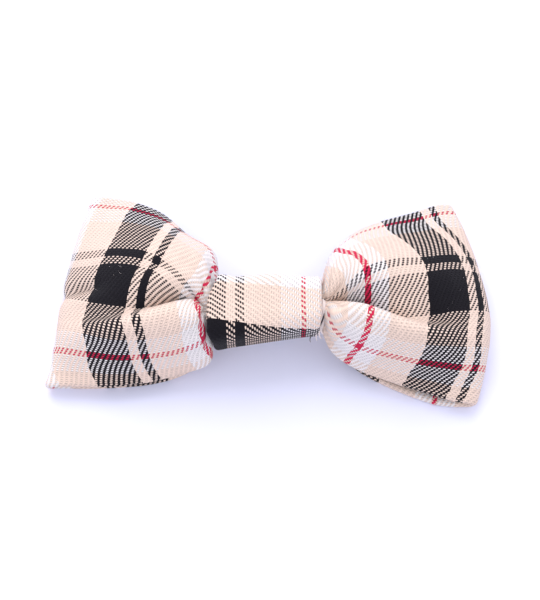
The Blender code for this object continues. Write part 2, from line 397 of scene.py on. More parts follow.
# %% [markdown]
# ## The shape of the bow
#
# The cloth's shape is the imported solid's own: a table of cross-sections for each wing, as
# shares of the wing's length, height and loft. Each cross-section is two round folds with a
# crease between them, and a smooth curve joins the sections into one closed ring. We repeat
# the table here and only ask for many more points from it, because a fine surface drawn from
# the same sections can't drift away from the solid.

# %% Sizes and sections
WING_HEIGHT = 0.0520
WING_LOFT = 0.0215
CLOTH_WALL = 0.0016
KNOT_HEIGHT = 0.0134
KNOT_DROP = 0.0007
KNOT_DEPTH = 0.0092
BAND_WIDTH = 0.0264
BAND_WALL = 0.0016
CLEARANCE = 0.0003
TUCK_CLEARANCE = 0.0012
BAND_SQUARENESS = 3.4
KNOT_TAPER = 0.28
FOLD_STEEPNESS = 0.7
CORNER_SHARPNESS = 1.5
BOW_WIDTH = 0.1085

ELASTIC_WALL = 0.0010
KNOT_BACK_Z = elastic_high.z + CLEARANCE + BAND_WALL + CLEARANCE
KNOT_MIDDLE_Z = KNOT_BACK_Z + KNOT_DEPTH / 2
BAND_EDGE = BAND_WIDTH / 2
WING_LENGTH = BOW_WIDTH / 2 - BAND_EDGE

Section = namedtuple(
    "Section",
    "reach low crease high low_lift low_crest crease_lift high_crest high_lift"
    " low_draw high_draw full lean",
)

RIGHT_FRONT = [
    Section(0.07, -0.16, 0.03, 0.27, 0.40, 0.93, 0.54, 0.92, 0.55, 0.01, 0.02, 1.00, 1.15),
    Section(0.21, -0.23, 0.04, 0.385, 0.26, 0.95, 0.56, 0.98, 0.48, 0.00, 0.03, 1.00, 1.30),
    Section(0.39, -0.28, 0.02, 0.47, 0.21, 0.86, 0.61, 0.90, 0.40, 0.00, 0.02, 0.85, 1.40),
    Section(0.61, -0.33, 0.00, 0.53, 0.18, 0.72, 0.60, 0.75, 0.34, 0.01, 0.04, 0.65, 1.40),
    Section(0.81, -0.37, 0.00, 0.58, 0.17, 0.56, 0.52, 0.58, 0.28, 0.04, 0.09, 0.45, 1.40),
    Section(0.95, -0.38, 0.01, 0.59, 0.16, 0.41, 0.39, 0.42, 0.25, 0.09, 0.16, 0.35, 1.40),
    Section(1.00, -0.38, 0.02, 0.60, 0.10, 0.23, 0.21, 0.24, 0.14, 0.11, 0.19, 0.30, 1.40),
]
RIGHT_BACK = [
    Section(0.95, -0.38, 0.02, 0.59, 0.00, 0.00, 0.00, 0.00, 0.00, 0.09, 0.16, 0.30, 1.00),
    Section(0.70, -0.37, 0.02, 0.55, 0.00, 0.00, 0.00, 0.00, 0.00, 0.02, 0.06, 0.30, 1.00),
    Section(0.41, -0.29, 0.02, 0.47, 0.00, 0.00, 0.03, 0.00, 0.00, 0.00, 0.01, 0.50, 1.00),
    Section(0.17, -0.19, 0.01, 0.33, 0.12, 0.07, 0.22, 0.07, 0.12, 0.00, 0.01, 0.80, 1.00),
]
LEFT_FRONT = [
    Section(0.12, -0.21, 0.04, 0.30, 0.37, 0.94, 0.56, 0.92, 0.53, 0.07, 0.09, 1.00, 1.15),
    Section(0.21, -0.25, 0.04, 0.40, 0.27, 0.95, 0.58, 0.98, 0.47, 0.00, 0.02, 1.00, 1.30),
    Section(0.36, -0.28, 0.02, 0.51, 0.22, 0.88, 0.68, 0.94, 0.43, -0.01, 0.02, 0.85, 1.40),
    Section(0.57, -0.30, 0.01, 0.58, 0.19, 0.73, 0.68, 0.78, 0.37, -0.02, 0.05, 0.65, 1.40),
    Section(0.76, -0.30, 0.02, 0.61, 0.18, 0.55, 0.54, 0.59, 0.31, -0.04, 0.10, 0.45, 1.40),
    Section(0.90, -0.30, 0.03, 0.63, 0.18, 0.37, 0.37, 0.40, 0.26, -0.05, 0.14, 0.30, 1.40),
    Section(0.94, -0.30, 0.03, 0.64, 0.11, 0.20, 0.20, 0.21, 0.15, -0.06, 0.15, 0.30, 1.40),
]
LEFT_BACK = [
    Section(0.90, -0.29, 0.03, 0.63, 0.00, 0.00, 0.00, 0.00, 0.00, -0.06, 0.14, 0.30, 1.00),
    Section(0.68, -0.29, 0.02, 0.59, 0.00, 0.00, 0.00, 0.00, 0.00, -0.03, 0.08, 0.30, 1.00),
    Section(0.39, -0.27, 0.02, 0.51, 0.00, 0.00, 0.03, 0.00, 0.00, -0.01, 0.02, 0.50, 1.00),
    Section(0.17, -0.22, 0.01, 0.36, 0.12, 0.07, 0.22, 0.07, 0.12, 0.00, 0.01, 0.80, 1.00),
]

Pinch = namedtuple("Pinch", "edge edge_lift crest_lift crease_lift full lean")
FRONT_PINCH = Pinch(0.97, 0.50, 0.93, 0.78, 0.62, 1.00)
BACK_PINCH = Pinch(0.80, 0.16, 0.00, 0.10, 0.50, 1.00)
PINCH_PLACES = (-1, -0.65, 0, 0.65, 1)

BAND_TURNS = (0, 50, 90, 130, 175, 270)
BAND_LEFT = (0.88, 0.90, 1.06, 1.06, 0.96, 0.90)
BAND_RIGHT = (0.86, 0.86, 0.86, 0.85, 0.83, 0.86)

# %% [markdown]
# ## From sections to rows of points
#
# One fold is drawn by two blended curves, a slack one that leaves its edge flat and a round
# one that stands up at once; full says how much of the round one there is. Numpy works out
# all the points of a row in one go, so asking for ninety points costs no more code than
# asking for nine.

# %% Rows across the cloth
LOBE_CELLS = 44
COLUMNS = 2 * LOBE_CELLS + 1
EDGE_SHARES = np.abs(1 - 2 * np.arange(COLUMNS) / (COLUMNS - 1))


def lobe(edge, crease, crest_lift, full, lean):
    """Points (y, z) on one fold, from an edge of the cloth to the crease."""
    share = np.linspace(0, 1, LOBE_CELLS + 1)
    leaning = share**lean
    soft_rise = (1 - np.cos(2 * np.pi * leaning)) / 2
    round_rise = np.sin(np.pi * leaning)
    rise = soft_rise + (round_rise - soft_rise) * full
    eased = (1 - np.cos(np.pi * share)) / 2
    along = share + (eased - share) * FOLD_STEEPNESS * full
    points = np.array(edge) + (np.array(crease) - np.array(edge)) * along[:, None]
    points[:, 1] += (crest_lift - (edge[1] + crease[1]) / 2) * rise
    return points


def fold_pair(low, crease, high, low_crest, high_crest, full, lean):
    lower = lobe(low, crease, low_crest, full, lean)
    upper = lobe(high, crease, high_crest, full, lean)
    return np.concatenate([lower, upper[-2::-1]])


def wing_lift(share):
    return CLOTH_WALL / 2 + share * (WING_LOFT - CLOTH_WALL)


def pinch_lift(share):
    return KNOT_BACK_Z + CLOTH_WALL / 2 + share * (KNOT_DEPTH - CLOTH_WALL)


def wing_row(section, side):
    points = fold_pair(
        (section.low * WING_HEIGHT, wing_lift(section.low_lift)),
        (section.crease * WING_HEIGHT, wing_lift(section.crease_lift)),
        (section.high * WING_HEIGHT, wing_lift(section.high_lift)),
        wing_lift(section.low_crest),
        wing_lift(section.high_crest),
        section.full,
        section.lean,
    )
    draw = np.where(np.arange(COLUMNS) < LOBE_CELLS, section.low_draw, section.high_draw)
    reach = BAND_EDGE + WING_LENGTH * (section.reach - draw * EDGE_SHARES**CORNER_SHARPNESS)
    return np.column_stack([side * reach, points])


def band_reach(side, turn):
    """X of the band's side edge at a turn around the knot, in degrees."""
    shares = BAND_LEFT if side < 0 else BAND_RIGHT
    return side * BAND_EDGE * np.interp(turn % 360, BAND_TURNS, shares, period=360)


def tapered(x, y):
    """Y in the knot, whose lower side rises from the band's left edge to its right."""
    top = KNOT_HEIGHT / 2
    return top - KNOT_DROP - (top - y) * (1 - KNOT_TAPER * (x + BAND_EDGE) / BAND_WIDTH)


def pinch_row(pinch, place):
    half_height = pinch.edge * (KNOT_HEIGHT - CLOTH_WALL) / 2
    y, z = fold_pair(
        (-half_height, pinch_lift(pinch.edge_lift)),
        (0.0, pinch_lift(pinch.crease_lift)),
        (half_height, pinch_lift(pinch.edge_lift)),
        pinch_lift(pinch.crest_lift),
        pinch_lift(pinch.crest_lift),
        pinch.full,
        pinch.lean,
    ).T
    turn = np.degrees(np.arctan2(z - KNOT_MIDDLE_Z, y))
    x = abs(place) * band_reach(math.copysign(1, place), turn) + place * TUCK_CLEARANCE
    return np.column_stack([x, tapered(x, y), z])


# %% [markdown]
# ## One closed ring of cloth
#
# The rows are joined by a smooth curve through all of them, the kind that never overshoots
# much, and then spaced evenly again, so that every face of the finished cloth has about the
# same size. The ring starts and ends in the middle of the back, under the band, which is
# where the real strip of cloth is joined too.

# %% Join the rows
RING_STEPS = 24
RING_ROWS = 400


def smooth_ring(rows):
    before, end, after = np.roll(rows, 1, 0), np.roll(rows, -1, 0), np.roll(rows, -2, 0)
    span = np.sqrt(np.linalg.norm(end - rows, axis=2).mean(axis=1))[:, None, None]
    span_in, span_out = np.roll(span, 1, 0), np.roll(span, -1, 0)
    pace_in, pace = (rows - before) / span_in, (end - rows) / span
    pace_out = (after - end) / span_out
    leave = (pace_in * span + pace * span_in) / (span_in + span) * span
    arrive = (pace * span_out + pace_out * span) / (span + span_out) * span
    steps = [
        (2 * t**3 - 3 * t**2 + 1) * rows
        + (t**3 - 2 * t**2 + t) * leave
        + (3 * t**2 - 2 * t**3) * end
        + (t**3 - t**2) * arrive
        for t in np.arange(RING_STEPS) / RING_STEPS
    ]
    return np.stack(steps, axis=1).reshape(-1, *rows.shape[1:])


def evenly_spaced(ring, count):
    """The closed ring again, with count rows at even steps, and its first row repeated."""
    closed = np.concatenate([ring, ring[:1]])
    strides = np.linalg.norm(np.diff(closed, axis=0), axis=2).mean(axis=1)
    travelled = np.concatenate([[0], np.cumsum(strides)])
    places = np.interp(np.linspace(0, travelled[-1], count + 1), travelled, np.arange(len(closed)))
    start = np.minimum(places.astype(int), len(ring) - 1)
    share = (places - start)[:, None, None]
    return closed[start] * (1 - share) + closed[start + 1] * share


def bow_middle():
    """Middle surface of the bow's cloth, as a grid of points, in the row frame."""
    back = [pinch_row(BACK_PINCH, place) for place in PINCH_PLACES]
    left = [wing_row(section, -1) for section in LEFT_FRONT + LEFT_BACK]
    front = [pinch_row(FRONT_PINCH, place) for place in PINCH_PLACES]
    right = [wing_row(section, 1) for section in RIGHT_FRONT + RIGHT_BACK]
    half = len(PINCH_PLACES) // 2
    rows = back[half::-1] + left[::-1] + front + right + back[:half:-1]
    grid = evenly_spaced(smooth_ring(np.array(rows)), RING_ROWS)
    grid[:, :, 2] = np.maximum(grid[:, :, 2], CLOTH_WALL / 2)
    return grid + np.array([knot_x, knot_y, 0])


# %% [markdown]
# ## The crease opens into a valley
#
# Beside the knot the two folds press against each other and the crease between them is a
# sharp line. Further out the cloth has room, and the same crease is only a soft valley. So
# the rows are smoothed across the crease, not at all at the knot and more and more along the
# wing. The smoothing is a running average with its neighbours, done many times over. Each
# valley also runs a little downwards on its way out, and is deepest half way.

# %% Round the crease
CREASE_SHARP = 2.0 * MM
CREASE_OPEN = 24.0 * MM
CREASE_PASSES = 60
CREASE_COLUMNS = 13


def eased_share(values, low, high):
    share = np.clip((values - low) / (high - low), 0, 1)
    return share**2 * (3 - 2 * share)


def smoothed_across(values, passes):
    """Running average across the columns, done again and again."""
    smooth = values.copy()
    for _ in range(passes):
        smooth[:, 1:-1] = (smooth[:, :-2] + 2 * smooth[:, 1:-1] + smooth[:, 2:]) / 4
    return smooth


def near_crease(reach):
    """1 at the crease's column, and less with each column away from it."""
    return np.exp(-(((np.arange(COLUMNS) - LOBE_CELLS) / reach) ** 2))


def beyond_band(grid):
    """Distance of each point from the band's side edge, less than 0 under the band."""
    return np.abs(grid[:, :, 0] - knot_x) - BAND_EDGE


def rounded_crease(grid):
    """The grid with its crease rounded, more and more with the distance from the band."""
    smooth = smoothed_across(grid, CREASE_PASSES)
    softness = eased_share(beyond_band(grid), CREASE_SHARP, CREASE_OPEN)
    softness = softness * near_crease(CREASE_COLUMNS)
    return grid + (smooth - grid) * softness[:, :, None]


Valley = namedtuple("Valley", "side distance spread drift depth")
VALLEYS = [
    Valley(1, 21 * MM, 11 * MM, 3.2 * MM, 1.3 * MM),
    Valley(-1, 25 * MM, 13 * MM, 2.2 * MM, 0.5 * MM),
]
VALLEY_COLUMNS = 15
VALLEY_FLOOR = 5 * MM


def sloping_valleys(grid):
    """The grid with both valleys moved down the wing and deepened there."""
    on_front = np.clip((grid[:, :, 2] - VALLEY_FLOOR) / VALLEY_FLOOR, 0, 1)
    in_valley = near_crease(VALLEY_COLUMNS) * on_front
    for valley in VALLEYS:
        out = valley.side * (grid[:, :, 0] - knot_x) - BAND_EDGE
        share = np.exp(-(((out - valley.distance) / valley.spread) ** 2)) * in_valley
        grid = grid - share[:, :, None] * np.array([0, valley.drift, valley.depth])
    return grid


middle = sloping_valleys(rounded_crease(bow_middle()))
print("bow grid:", middle.shape[:2])
print("lowest corner", middle.min((0, 1)).round(4), "highest", middle.max((0, 1)).round(4))

# %% [markdown]
# ## Flat cloth coordinates
#
# A pattern printed straight down on a folded cloth looks painted on. Woven stripes follow
# the yarns instead, so every point of the surface needs to know where it was on the flat
# strip. Across the strip, v is the distance from the nearer edge; what doesn't fit near the
# knot is tucked into the crease. Along the strip, u is the distance walked from the middle of
# the knot. The walk can follow a column of the grid, which keeps the cross stripes calm, or a
# line of equal v, as a yarn does, which keeps the weave at its size. A mix of the two looks
# most like cloth that has sheared a little. The walk over a fold is longer than the walk
# beside it, and that alone makes the stripes bow outwards.

# %% Measure the strip
STRIP_HEIGHT = 0.0545
TUCK_START = 0.55
FRONT_SEARCH = 60
SHARE_REACH = 12
STRAIGHTEN_PASSES = 90
STRAIGHTEN_COLUMNS = 20
YARN_LINES = 150
YARN_SHARE = 0.35


def walked(points, axis):
    """Distance walked along one axis of a grid of points, from its first row or column."""
    strides = np.linalg.norm(np.diff(points, axis=axis), axis=2)
    start = np.zeros_like(np.take(strides, [0], axis=axis))
    return np.concatenate([start, np.cumsum(strides, axis=axis)], axis=axis)


def softened(values, reach):
    """Running mean round the ring of rows."""
    window = np.ones(2 * reach + 1) / (2 * reach + 1)
    padded = np.concatenate([values[-reach - 1 : -1], values, values[1 : reach + 1]])
    return np.convolve(padded, window, mode="valid")


def straightened(values):
    """Values smoothed across the columns, near the crease only."""
    smooth = smoothed_across(values, STRAIGHTEN_PASSES)
    return values + (smooth - values) * near_crease(STRAIGHTEN_COLUMNS)


def tucked(distance, flat_length):
    """Flat distance from an edge, with the spare cloth taken up near the crease."""
    length = distance[:, -1:]
    spare = flat_length[:, None] - length
    return distance + spare * eased_share(distance / length, TUCK_START, 1)


def walked_along_yarns(grid, v):
    """Distance walked at each point on its own line of equal v."""
    levels = np.linspace(0, STRIP_HEIGHT, YARN_LINES)
    lines = [
        [np.interp(levels, across, points[:, axis]) for axis in range(3)]
        for points, across in zip(grid, v)
    ]
    walks = walked(np.array(lines).transpose(0, 2, 1), 0)
    return np.array([np.interp(across, levels, walk) for across, walk in zip(v, walks)])


def strip_coordinates(grid):
    """Where each point was on the flat strip: u along it and v across it."""
    lower = walked(grid[:, : LOBE_CELLS + 1], 1)
    upper = walked(grid[:, : LOBE_CELLS - 1 : -1], 1)
    lower_share = softened(lower[:, -1] / (lower[:, -1] + upper[:, -1]), SHARE_REACH)
    v_low = tucked(lower, STRIP_HEIGHT * lower_share)
    v_high = STRIP_HEIGHT - tucked(upper, STRIP_HEIGHT * (1 - lower_share))
    v = np.concatenate([v_low, v_high[:, -2::-1]], axis=1)
    u = walked(grid, 0) * (1 - YARN_SHARE) + walked_along_yarns(grid, v) * YARN_SHARE
    first = len(grid) // 2 - FRONT_SEARCH
    nearby = grid[first : first + 2 * FRONT_SEARCH, LOBE_CELLS, 0]
    return straightened(u - u[first + np.argmin(np.abs(nearby - knot_x))]), v


flat_u, flat_v = strip_coordinates(middle)
strip_lengths = (flat_u[-1] - flat_u[0]) / MM
print("strip length in mm:", strip_lengths.min().round(1), "to", strip_lengths.max().round(1))
cross_lengths = walked(middle, 1)[:, -1] / MM
print("cloth across in mm:", cross_lengths.min().round(1), "to", cross_lengths.max().round(1))

# %% [markdown]
# ## Creases, gathers and dents
#
# Cloth that is squeezed into a knot wrinkles: short pleats run out of the band and die away
# within a finger's width, and longer, softer waves cross the wings. They could come from a
# cloth simulation, but a sum of a few waves keeps the main folds exactly where they are. Every
# point moves along its surface normal. Where the cloth lies on the table it stays flat.

# %% Shape the surface
PLEAT_WAVE = 6.2 * MM
PLEAT_HEIGHT = 0.30 * MM
PLEAT_FADE = 8.0 * MM
PLEAT_DRIFT, PLEAT_DRIFT_LENGTH = 1.1, 9 * MM
PLEAT_SHIFT = 0.7
WAVE_HEIGHT, WAVE_SIZE = 0.42 * MM, 13 * MM
RIPPLE_HEIGHT, RIPPLE_SIZE = 0.10 * MM, 4.5 * MM
TABLE_MARGIN = 2 * MM
BAND_COVER, BAND_MARGIN = 0.9, 4 * MM

LEAN_LEFT, LEAN_FADE_LEFT = 2.8 * MM, 26 * MM
LEAN_RIGHT, LEAN_FADE_RIGHT = 1.2 * MM, 16 * MM
LEAN_SPAN = 0.8
LEAN_FLOOR, LEAN_RISE = 6 * MM, 4 * MM

Dent = namedtuple("Dent", "x y length width depth")
DENTS = [
    Dent(-0.0462, -0.0010, 0.0055, 0.0018, 0.0018),
    Dent(-0.0250, 0.0020, 0.0080, 0.0020, 0.0006),
    Dent(0.0250, -0.0035, 0.0110, 0.0030, 0.0008),
    Dent(0.0440, 0.0060, 0.0060, 0.0040, 0.0005),
]


def normals_of(grid):
    """Outward normals of a ring of rows, whose last row repeats its first."""
    ring = np.concatenate([grid[-2:-1], grid, grid[1:2]])
    along = ring[2:] - ring[:-2]
    across = np.gradient(grid, axis=1)
    normals = np.cross(along, across)
    return normals / np.linalg.norm(normals, axis=2, keepdims=True)


def overhang(grid):
    """The upper fold leans over the crease near the knot, more on the left wing."""
    share = np.clip((np.arange(COLUMNS) - LOBE_CELLS) / LOBE_CELLS, 0, 1)
    flank = np.sin(np.pi * np.clip(share / LEAN_SPAN, 0, 1))
    distance = np.maximum(beyond_band(grid), 0)
    on_left = grid[:, :, 0] < knot_x
    lean = np.where(on_left, LEAN_LEFT, LEAN_RIGHT)
    fade = np.where(on_left, LEAN_FADE_LEFT, LEAN_FADE_RIGHT)
    front = np.clip((grid[:, :, 2] - LEAN_FLOOR) / LEAN_RISE, 0, 1)
    tucked_in = np.clip(distance / BAND_MARGIN, 0, 1)
    grid[:, :, 1] -= lean * flank * front * tucked_in * np.exp(-distance / fade)


def wrinkles(grid, u, v):
    """Height of all the small folds at each point, in metres."""
    near_knot = np.exp(-np.maximum(beyond_band(grid), 0) / PLEAT_FADE)
    drift = PLEAT_DRIFT * np.sin(u / PLEAT_DRIFT_LENGTH) + PLEAT_SHIFT * np.sign(u)
    height = PLEAT_HEIGHT * near_knot * np.sin(2 * np.pi * v / PLEAT_WAVE + drift)
    for i in range(grid.shape[0]):
        for j in range(grid.shape[1]):
            place = Vector(grid[i, j])
            height[i, j] += WAVE_HEIGHT * noise.noise(place / WAVE_SIZE)
            height[i, j] += RIPPLE_HEIGHT * noise.noise(place / RIPPLE_SIZE)
    for dent in DENTS:
        x = (grid[:, :, 0] - dent.x) / dent.length
        y = (grid[:, :, 1] - dent.y) / dent.width
        height -= dent.depth * np.exp(-(x**2) - y**2)
    off_table = np.clip((grid[:, :, 2] - CLOTH_WALL) / TABLE_MARGIN, 0, 1)
    from_cover = np.abs(grid[:, :, 0] - knot_x) - BAND_EDGE * BAND_COVER
    clear_of_band = np.clip(from_cover / BAND_MARGIN, 0, 1)
    return height * off_table * clear_of_band


overhang(middle)
folds = wrinkles(middle, flat_u, flat_v)
middle = middle + normals_of(middle) * folds[:, :, None]
middle[:, :, 2] = np.maximum(middle[:, :, 2], CLOTH_WALL / 2)
print("wrinkles from", round(folds.min() / MM, 2), "to", round(folds.max() / MM, 2), "mm")

# %% [markdown]
# ## A strip with rolled edges
#
# The strip is a tube pressed flat, so its edges are soft folds and the pattern runs on round
# them to the inside. Solidify would give square rims with the pattern smeared across them.
# Instead a grid primitive is laid out as the whole tube: up the inside, round one edge, down
# the outside and round the other edge. Its ends meet, Merge by Distance closes them, and the
# seam of the tube falls in the middle of the inside.

# %% The helper that makes a rolled strip
RIM_CELLS = 6
EDGE_SWELL = 0.22
SWELL_REACH = 1.6 * MM
STRIP_MERGE = 0.001 * MM


def rim(edge, inner_neighbour, normal, half, angles):
    """Points round one rolled edge, from the outside to the inside."""
    outwards = edge - inner_neighbour
    outwards -= normal * (outwards * normal).sum(axis=1, keepdims=True)
    outwards /= np.linalg.norm(outwards, axis=1, keepdims=True)
    return [
        edge + half[:, None] * (math.cos(angle) * normal + math.sin(angle) * outwards)
        for angle in angles
    ]


def tube_layout(grid, u, v, wall):
    """Points and flat coordinates of the whole tube, from its middle surface."""
    normal = normals_of(grid)
    to_edge = np.minimum(v - v.min(axis=1, keepdims=True), v.max(axis=1, keepdims=True) - v)
    half = wall / 2 * (1 + EDGE_SWELL * np.exp(-((to_edge / SWELL_REACH) ** 2)))
    outer = grid + normal * half[:, :, None]
    inner = grid - normal * half[:, :, None]
    angles = [math.pi * cell / RIM_CELLS for cell in range(1, RIM_CELLS)]
    low_rim = rim(grid[:, 0], grid[:, 1], normal[:, 0], half[:, 0], angles)
    high_rim = rim(grid[:, -1], grid[:, -2], normal[:, -1], half[:, -1], angles)
    turn = math.pi * wall / 2
    last, centre = grid.shape[1] - 1, grid.shape[1] // 2
    v_low, v_high = v[:, 0], v[:, last]
    columns = []
    for j in range(centre, -1, -1):
        columns.append((inner[:, j], u[:, j], v_low - turn - (v[:, j] - v_low)))
    for cell, points in zip(range(RIM_CELLS - 1, 0, -1), low_rim[::-1]):
        columns.append((points, u[:, 0], v_low - turn * cell / RIM_CELLS))
    columns += [(outer[:, j], u[:, j], v[:, j]) for j in range(last + 1)]
    for cell, points in zip(range(1, RIM_CELLS), high_rim):
        columns.append((points, u[:, last], v_high + turn * cell / RIM_CELLS))
    for j in range(last, centre - 1, -1):
        columns.append((inner[:, j], u[:, j], v_high + turn + (v_high - v[:, j])))
    points, us, vs = zip(*columns)
    return np.stack(points, axis=1), np.stack(us, axis=1), np.stack(vs, axis=1)


def close_mesh(merge_distance):
    """Merges the active mesh's doubles, turns its faces outwards and smooths it."""
    bpy.ops.object.mode_set(mode="EDIT")
    bpy.ops.mesh.select_all(action="SELECT")
    bpy.ops.mesh.remove_doubles(threshold=merge_distance)
    bpy.ops.mesh.normals_make_consistent(inside=False)
    bpy.ops.object.mode_set(mode="OBJECT")
    bpy.ops.object.shade_smooth()


def rolled_strip(name, grid, u, v, wall, material):
    """A closed ring of cloth with rolled edges, made from a grid primitive."""
    points, us, vs = tube_layout(grid, u, v, wall)
    points[:, :, 2] = np.maximum(points[:, :, 2], 0.0)
    rows, columns = points.shape[0] - 1, points.shape[1] - 1
    bpy.ops.object.select_all(action="DESELECT")
    bpy.ops.mesh.primitive_grid_add(x_subdivisions=columns, y_subdivisions=rows, size=2)
    piece = bpy.context.object
    piece.name = piece.data.name = name
    mesh = piece.data
    places = np.empty(len(mesh.vertices) * 3, np.float32)
    mesh.vertices.foreach_get("co", places)
    places = places.reshape(-1, 3)
    column = np.rint((places[:, 0] + 1) / 2 * columns).astype(int)
    row = np.rint((places[:, 1] + 1) / 2 * rows).astype(int)
    mesh.vertices.foreach_set("co", points[row, column].astype(np.float32).ravel())
    corners = np.empty(len(mesh.loops), np.int32)
    mesh.loops.foreach_get("vertex_index", corners)
    flat = mesh.uv_layers[0]
    flat.name = FLAT_MAP
    coordinates = np.column_stack([us[row, column], vs[row, column]])[corners]
    flat.data.foreach_set("uv", coordinates.astype(np.float32).ravel())
    close_mesh(merge_distance=STRIP_MERGE)
    mesh.materials.append(material)
    print(name, "has", len(mesh.polygons), "faces")
    return piece


# %% [markdown]
# ## The bow
#
# Everything for the bow is ready now. The two numbers given to the material slide the tartan
# along and across the strip, until its dark stripes cross the wings where they look best.

# %% Make the bow
BOW_START_ACROSS = 14.4 * MM
BOW_START_ALONG = 30.6 * MM

bow_finish = brushed_twill("bow twill", BOW_START_ACROSS, BOW_START_ALONG)
bow = rolled_strip("bow", middle, flat_u, flat_v, CLOTH_WALL, bow_finish)
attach(bow, "root")
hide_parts("bow_loop")

# %% [markdown]
# ## The band
#
# The band is a narrower strip of the same cloth, cut at right angles to the bow, so its
# diagonal ribs lean the other way. It wraps the knot as a rounded oblong. Its top edge
# ripples a little, because it is pulled tighter at some places than at others. Behind the
# knot its end laps over its start, which is a small step in the cloth.

# %% Make the band
BAND_RING_ROWS = 150
BAND_COLUMNS = 61
RIPPLE_HIGH = 0.9 * MM
RIPPLE_WAVE = 19 * MM
RIPPLE_CREST = 1.6 * MM
RIPPLE_FLOOR, RIPPLE_RISE = 3 * MM, 4 * MM
BAND_WAVE_HEIGHT, BAND_WAVE_SIZE = 0.35 * MM, 8 * MM
BAND_WAVE_DIP = -0.2
SIDE_DEPTH = 2 * MM
LAP_STEP = 0.25 * MM
LAP_EDGE = 0.6 * MM
LAP_FADE = 5.0 * MM
BAND_START_ACROSS = 26.4 * MM
BAND_START_ALONG = 31.0 * MM


def band_middle():
    half_height = KNOT_HEIGHT / 2 + CLEARANCE + BAND_WALL / 2
    half_depth = KNOT_DEPTH / 2 + CLEARANCE + BAND_WALL / 2
    power = 2 / BAND_SQUARENESS
    rows = []
    for turn in -90 + 360 * np.arange(BAND_RING_ROWS) / BAND_RING_ROWS:
        across, up = math.cos(math.radians(turn)), math.sin(math.radians(turn))
        y = half_height * math.copysign(abs(across) ** power, across)
        z = KNOT_MIDDLE_Z + half_depth * math.copysign(abs(up) ** power, up)
        x = np.linspace(band_reach(-1, turn), band_reach(1, turn), BAND_COLUMNS)
        rows.append(np.column_stack([x, tapered(x, y), np.full(BAND_COLUMNS, z)]))
    grid = evenly_spaced(np.array(rows), BAND_RING_ROWS)
    return grid + np.array([knot_x, knot_y, 0])


def band_wrinkles(grid):
    x, y = grid[:, :, 0] - knot_x, grid[:, :, 1] - knot_y
    near_top = np.clip((y - RIPPLE_FLOOR) / RIPPLE_RISE, 0, 1)
    crests = (1 + np.cos(2 * np.pi * (x - RIPPLE_CREST) / RIPPLE_WAVE)) / 2
    waves = np.array(
        [[noise.noise(Vector(point) / BAND_WAVE_SIZE) for point in row] for row in grid]
    )
    front = np.clip((grid[:, :, 2] - KNOT_MIDDLE_Z) / SIDE_DEPTH, 0, 1)
    behind = np.clip((KNOT_MIDDLE_Z - grid[:, :, 2]) / SIDE_DEPTH, 0, 1)
    uneven_front = BAND_WAVE_HEIGHT * np.maximum(waves, BAND_WAVE_DIP) * front
    lap = LAP_STEP * behind * (y > LAP_EDGE) * np.exp((LAP_EDGE - y) / LAP_FADE)
    return RIPPLE_HIGH * near_top * crests + uneven_front + lap


band_grid = band_middle()
band_u = walked(band_grid, 0)
band_v = band_grid[:, :, 0] - knot_x
band_grid = band_grid + normals_of(band_grid) * band_wrinkles(band_grid)[:, :, None]
print("the band is", round(band_u[-1].mean() / MM, 1), "mm round")

band_finish = brushed_twill("band twill", BAND_START_ACROSS, BAND_START_ALONG)
band = rolled_strip("band", band_grid, band_u, band_v, BAND_WALL, band_finish)
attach(band, "root")
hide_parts("center_band")

# %% [markdown]
# ## The elastic loop
#
# The pet's collar goes through a loop of flat elastic, sewn to the back of the band. The photo
# doesn't show it, so it is the plain ribbed kind: fine cords run along it, and the cross
# threads pinch them into a row of tiny beads. Its middle line is two straight runs joined by
# round ends. The same helper as before gives it thickness and soft edges. Its ribs follow the
# flat map too, and a sine wave each way is all the texture that a narrow elastic needs.

# %% Make the elastic loop
ELASTIC_RING_ROWS = 120
ELASTIC_COLUMNS = 25
ELASTIC_COLOUR = (0.86, 0.84, 0.80)
ELASTIC_PAINTED_GROOVE_SHADE = (0.60, 0.58, 0.55)
ELASTIC_ROUGHNESS, ELASTIC_SHEEN = 0.7, 0.15
RIB_SPACING, RIB_SHARE = 0.9 * MM, 0.32
PICK_SPACING, PICK_SHARE = 0.42 * MM, 0.18
RIB_RELIEF = 0.18 * MM


def elastic_middle():
    radius = (elastic_high.z - elastic_low.z - ELASTIC_WALL) / 2
    run = (elastic_high.y - elastic_low.y - ELASTIC_WALL) / 2 - radius
    middle_y = (elastic_low.y + elastic_high.y) / 2
    middle_z = (elastic_low.z + elastic_high.z) / 2
    x = np.linspace(elastic_low.x, elastic_high.x, ELASTIC_COLUMNS)
    x[0], x[-1] = x[0] + ELASTIC_WALL / 2, x[-1] - ELASTIC_WALL / 2
    rows = []
    for turn in np.radians(-90 + 360 * np.arange(ELASTIC_RING_ROWS) / ELASTIC_RING_ROWS):
        across = math.cos(turn)
        side = 0.0 if abs(across) < 1e-9 else math.copysign(run, across)
        y, z = middle_y + side + radius * across, middle_z + radius * math.sin(turn)
        rows.append([(place, y, z) for place in x])
    return evenly_spaced(np.array(rows), ELASTIC_RING_ROWS)


